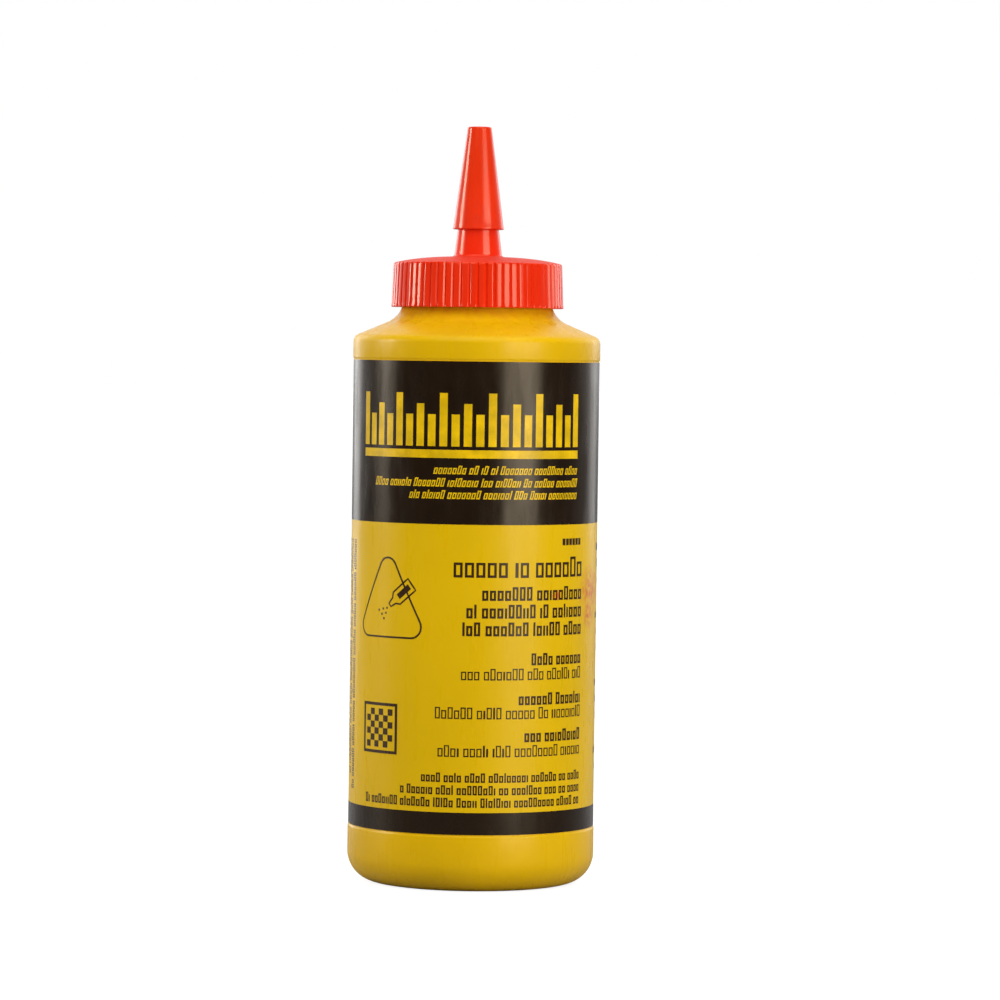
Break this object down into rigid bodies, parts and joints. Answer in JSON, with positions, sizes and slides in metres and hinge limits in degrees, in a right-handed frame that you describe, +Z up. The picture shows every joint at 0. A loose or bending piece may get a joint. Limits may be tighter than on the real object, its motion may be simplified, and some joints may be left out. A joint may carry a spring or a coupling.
{
  "type": "marking chalk bottle",
  "caption": "Round squeeze bottle of powdered marking chalk with a wrap label, a ribbed screw cap with a long conical pouring spout, and a push-on tip cover.",
  "frame": {"origin": "on the bottle's axis, on the surface that it stands on", "axes": "+Z up along the bottle's axis, -Y towards the front of the label"},
  "size_m": [0.0584, 0.0584, 0.1784],
  "materials": {
    "bottle_plastic": "satin yellow polyethylene",
    "label_film": "printed film, dark band and stripe on yellow",
    "chalk": "dry red powder",
    "seal_foam": "white foamed polyethylene",
    "cap_plastic": "semi-gloss red polyethylene",
    "cover_plastic": "semi-gloss red polyethylene"
  },
  "bodies": {
    "bottle": {"bottle": "bottle_plastic", "label": "label_film", "chalk_powder": "chalk"},
    "seal": {"sealing_ring": "seal_foam"},
    "cap": {"spout_cap": "cap_plastic"},
    "tip": {"tip_cover": "cover_plastic"}
  },
  "joints": [
    {"name": "cap_lift", "type": "slide", "parent": "bottle", "child": "seal", "axis": [0, 0, 1], "range_m": [0, 0.01271]},
    {"name": "cap_turn", "type": "hinge", "parent": "seal", "child": "cap", "pos_m": [0, 0, 0.14], "axis": [0, 0, 1], "range_deg": [0, 1080]},
    {"name": "tip_pull", "type": "slide", "parent": "cap", "child": "tip", "axis": [0, 0, 1], "range_m": [0, 0.03]}
  ],
  "couplings": [
    {"joint": "cap_lift", "follows": "cap_turn", "m_per_rad": 0.00067375}
  ]
}
